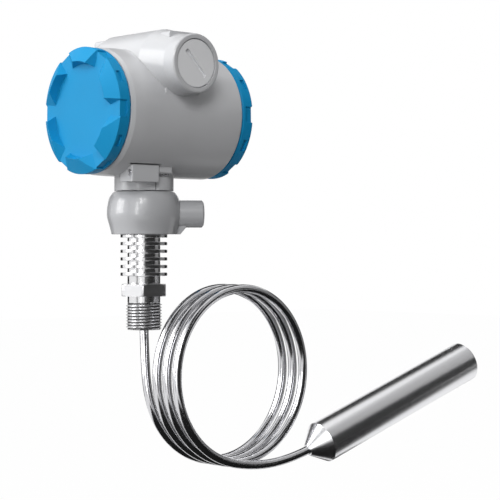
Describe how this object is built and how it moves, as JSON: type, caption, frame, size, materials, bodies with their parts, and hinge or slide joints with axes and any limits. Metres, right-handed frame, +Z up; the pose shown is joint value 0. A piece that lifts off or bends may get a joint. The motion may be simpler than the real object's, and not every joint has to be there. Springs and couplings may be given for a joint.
{
  "type": "level transmitter",
  "caption": "Level transmitter with a turning grey head, blue screw-on covers, finned steel stem, coiled steel tube and cylindrical immersion probe.",
  "frame": {"origin": "centre of the free end of the process thread", "axes": "+Z up the stem to the head, +X along the housing from the front cover to the rear cover, -Y towards the near conduit entry"},
  "size_m": [0.315, 0.1282, 0.2924],
  "materials": {
    "grey_paint": "satin",
    "plug_grey": "satin",
    "blue_paint": "satin",
    "black_rubber": "matt",
    "turned_steel": "turned",
    "tube_steel": "polished",
    "sintered_metal": "matt",
    "potting": "matt",
    "white_ceramic": "gloss",
    "dark_steel": "satin",
    "black_plastic": "matt",
    "terminal_brass": "satin",
    "screw_steel": "satin",
    "green_board": "gloss"
  },
  "bodies": {
    "stem_assembly": {"stem": "turned_steel", "tube_gland": "turned_steel", "stem_potting": "potting", "adapter": "grey_paint", "neck_seal": "black_rubber", "vent_disc": "sintered_metal", "tube": "tube_steel", "probe_nose": "turned_steel", "probe_seal": "black_rubber", "probe_body": "turned_steel", "sensor_cell": "white_ceramic", "sensor_seal": "black_rubber", "probe_cap": "turned_steel"},
    "head": {"housing": "grey_paint", "terminal_base": "black_plastic", "terminal_clamps": "terminal_brass", "terminal_screws": "screw_steel", "base_screws": "screw_steel", "ground_screw": "screw_steel", "electronics_case": "black_plastic", "electronics_board": "green_board", "board_screws": "screw_steel"},
    "front_seal": {"front_seal": "black_rubber"},
    "front_cover": {"front_cover": "blue_paint"},
    "rear_seal": {"rear_seal": "black_rubber"},
    "rear_cover": {"rear_cover": "blue_paint"},
    "near_plug_seal": {"near_plug_seal": "black_rubber"},
    "near_plug": {"near_plug": "plug_grey"},
    "far_plug_seal": {"far_plug_seal": "black_rubber"},
    "far_plug": {"far_plug": "plug_grey"},
    "clamp_washer": {"clamp_washer": "dark_steel"},
    "clamp_screw": {"clamp_screw": "dark_steel"}
  },
  "joints": [
    {"name": "housing_turn", "type": "hinge", "parent": "stem_assembly", "child": "head", "pos_m": [0, 0, 0.0913], "axis": [0, 0, 1], "range_deg": [-170, 170]},
    {"name": "front_cover_travel", "type": "slide", "parent": "head", "child": "front_seal", "axis": [-1, 0, 0], "range_m": [0, 0.01]},
    {"name": "front_cover_turn", "type": "hinge", "parent": "front_seal", "child": "front_cover", "pos_m": [-0.0413, 0, 0.1426], "axis": [-1, 0, 0], "range_deg": [0, 1800]},
    {"name": "rear_cover_travel", "type": "slide", "parent": "head", "child": "rear_seal", "axis": [1, 0, 0], "range_m": [0, 0.01]},
    {"name": "rear_cover_turn", "type": "hinge", "parent": "rear_seal", "child": "rear_cover", "pos_m": [0.051, 0, 0.1426], "axis": [1, 0, 0], "range_deg": [0, 1800]},
    {"name": "near_plug_travel", "type": "slide", "parent": "head", "child": "near_plug_seal", "axis": [0, -1, 0], "range_m": [0, 0.015]},
    {"name": "near_plug_turn", "type": "hinge", "parent": "near_plug_seal", "child": "near_plug", "pos_m": [0, -0.05, 0.1724], "axis": [0, -1, 0], "range_deg": [0, 3600]},
    {"name": "far_plug_travel", "type": "slide", "parent": "head", "child": "far_plug_seal", "axis": [0, 1, 0], "range_m": [0, 0.015]},
    {"name": "far_plug_turn", "type": "hinge", "parent": "far_plug_seal", "child": "far_plug", "pos_m": [0, 0.05, 0.1724], "axis": [0, 1, 0], "range_deg": [0, 3600]},
    {"name": "clamp_screw_travel", "type": "slide", "parent": "head", "child": "clamp_washer", "axis": [-1, 0, 0], "range_m": [0, 0.0018]},
    {"name": "clamp_screw_turn", "type": "hinge", "parent": "clamp_washer", "child": "clamp_screw", "pos_m": [-0.025, -0.0204, 0.1028], "axis": [-1, 0, 0], "range_deg": [0, 1440]}
  ],
  "couplings": [
    {"joint": "front_cover_travel", "follows": "front_cover_turn", "m_per_rad": 0.00031831},
    {"joint": "rear_cover_travel", "follows": "rear_cover_turn", "m_per_rad": 0.00031831},
    {"joint": "near_plug_travel", "follows": "near_plug_turn", "m_per_rad": 0.00023873},
    {"joint": "far_plug_travel", "follows": "far_plug_turn", "m_per_rad": 0.00023873},
    {"joint": "clamp_screw_turn", "follows": "clamp_screw_travel", "rad_per_m": 13963}
  ]
}
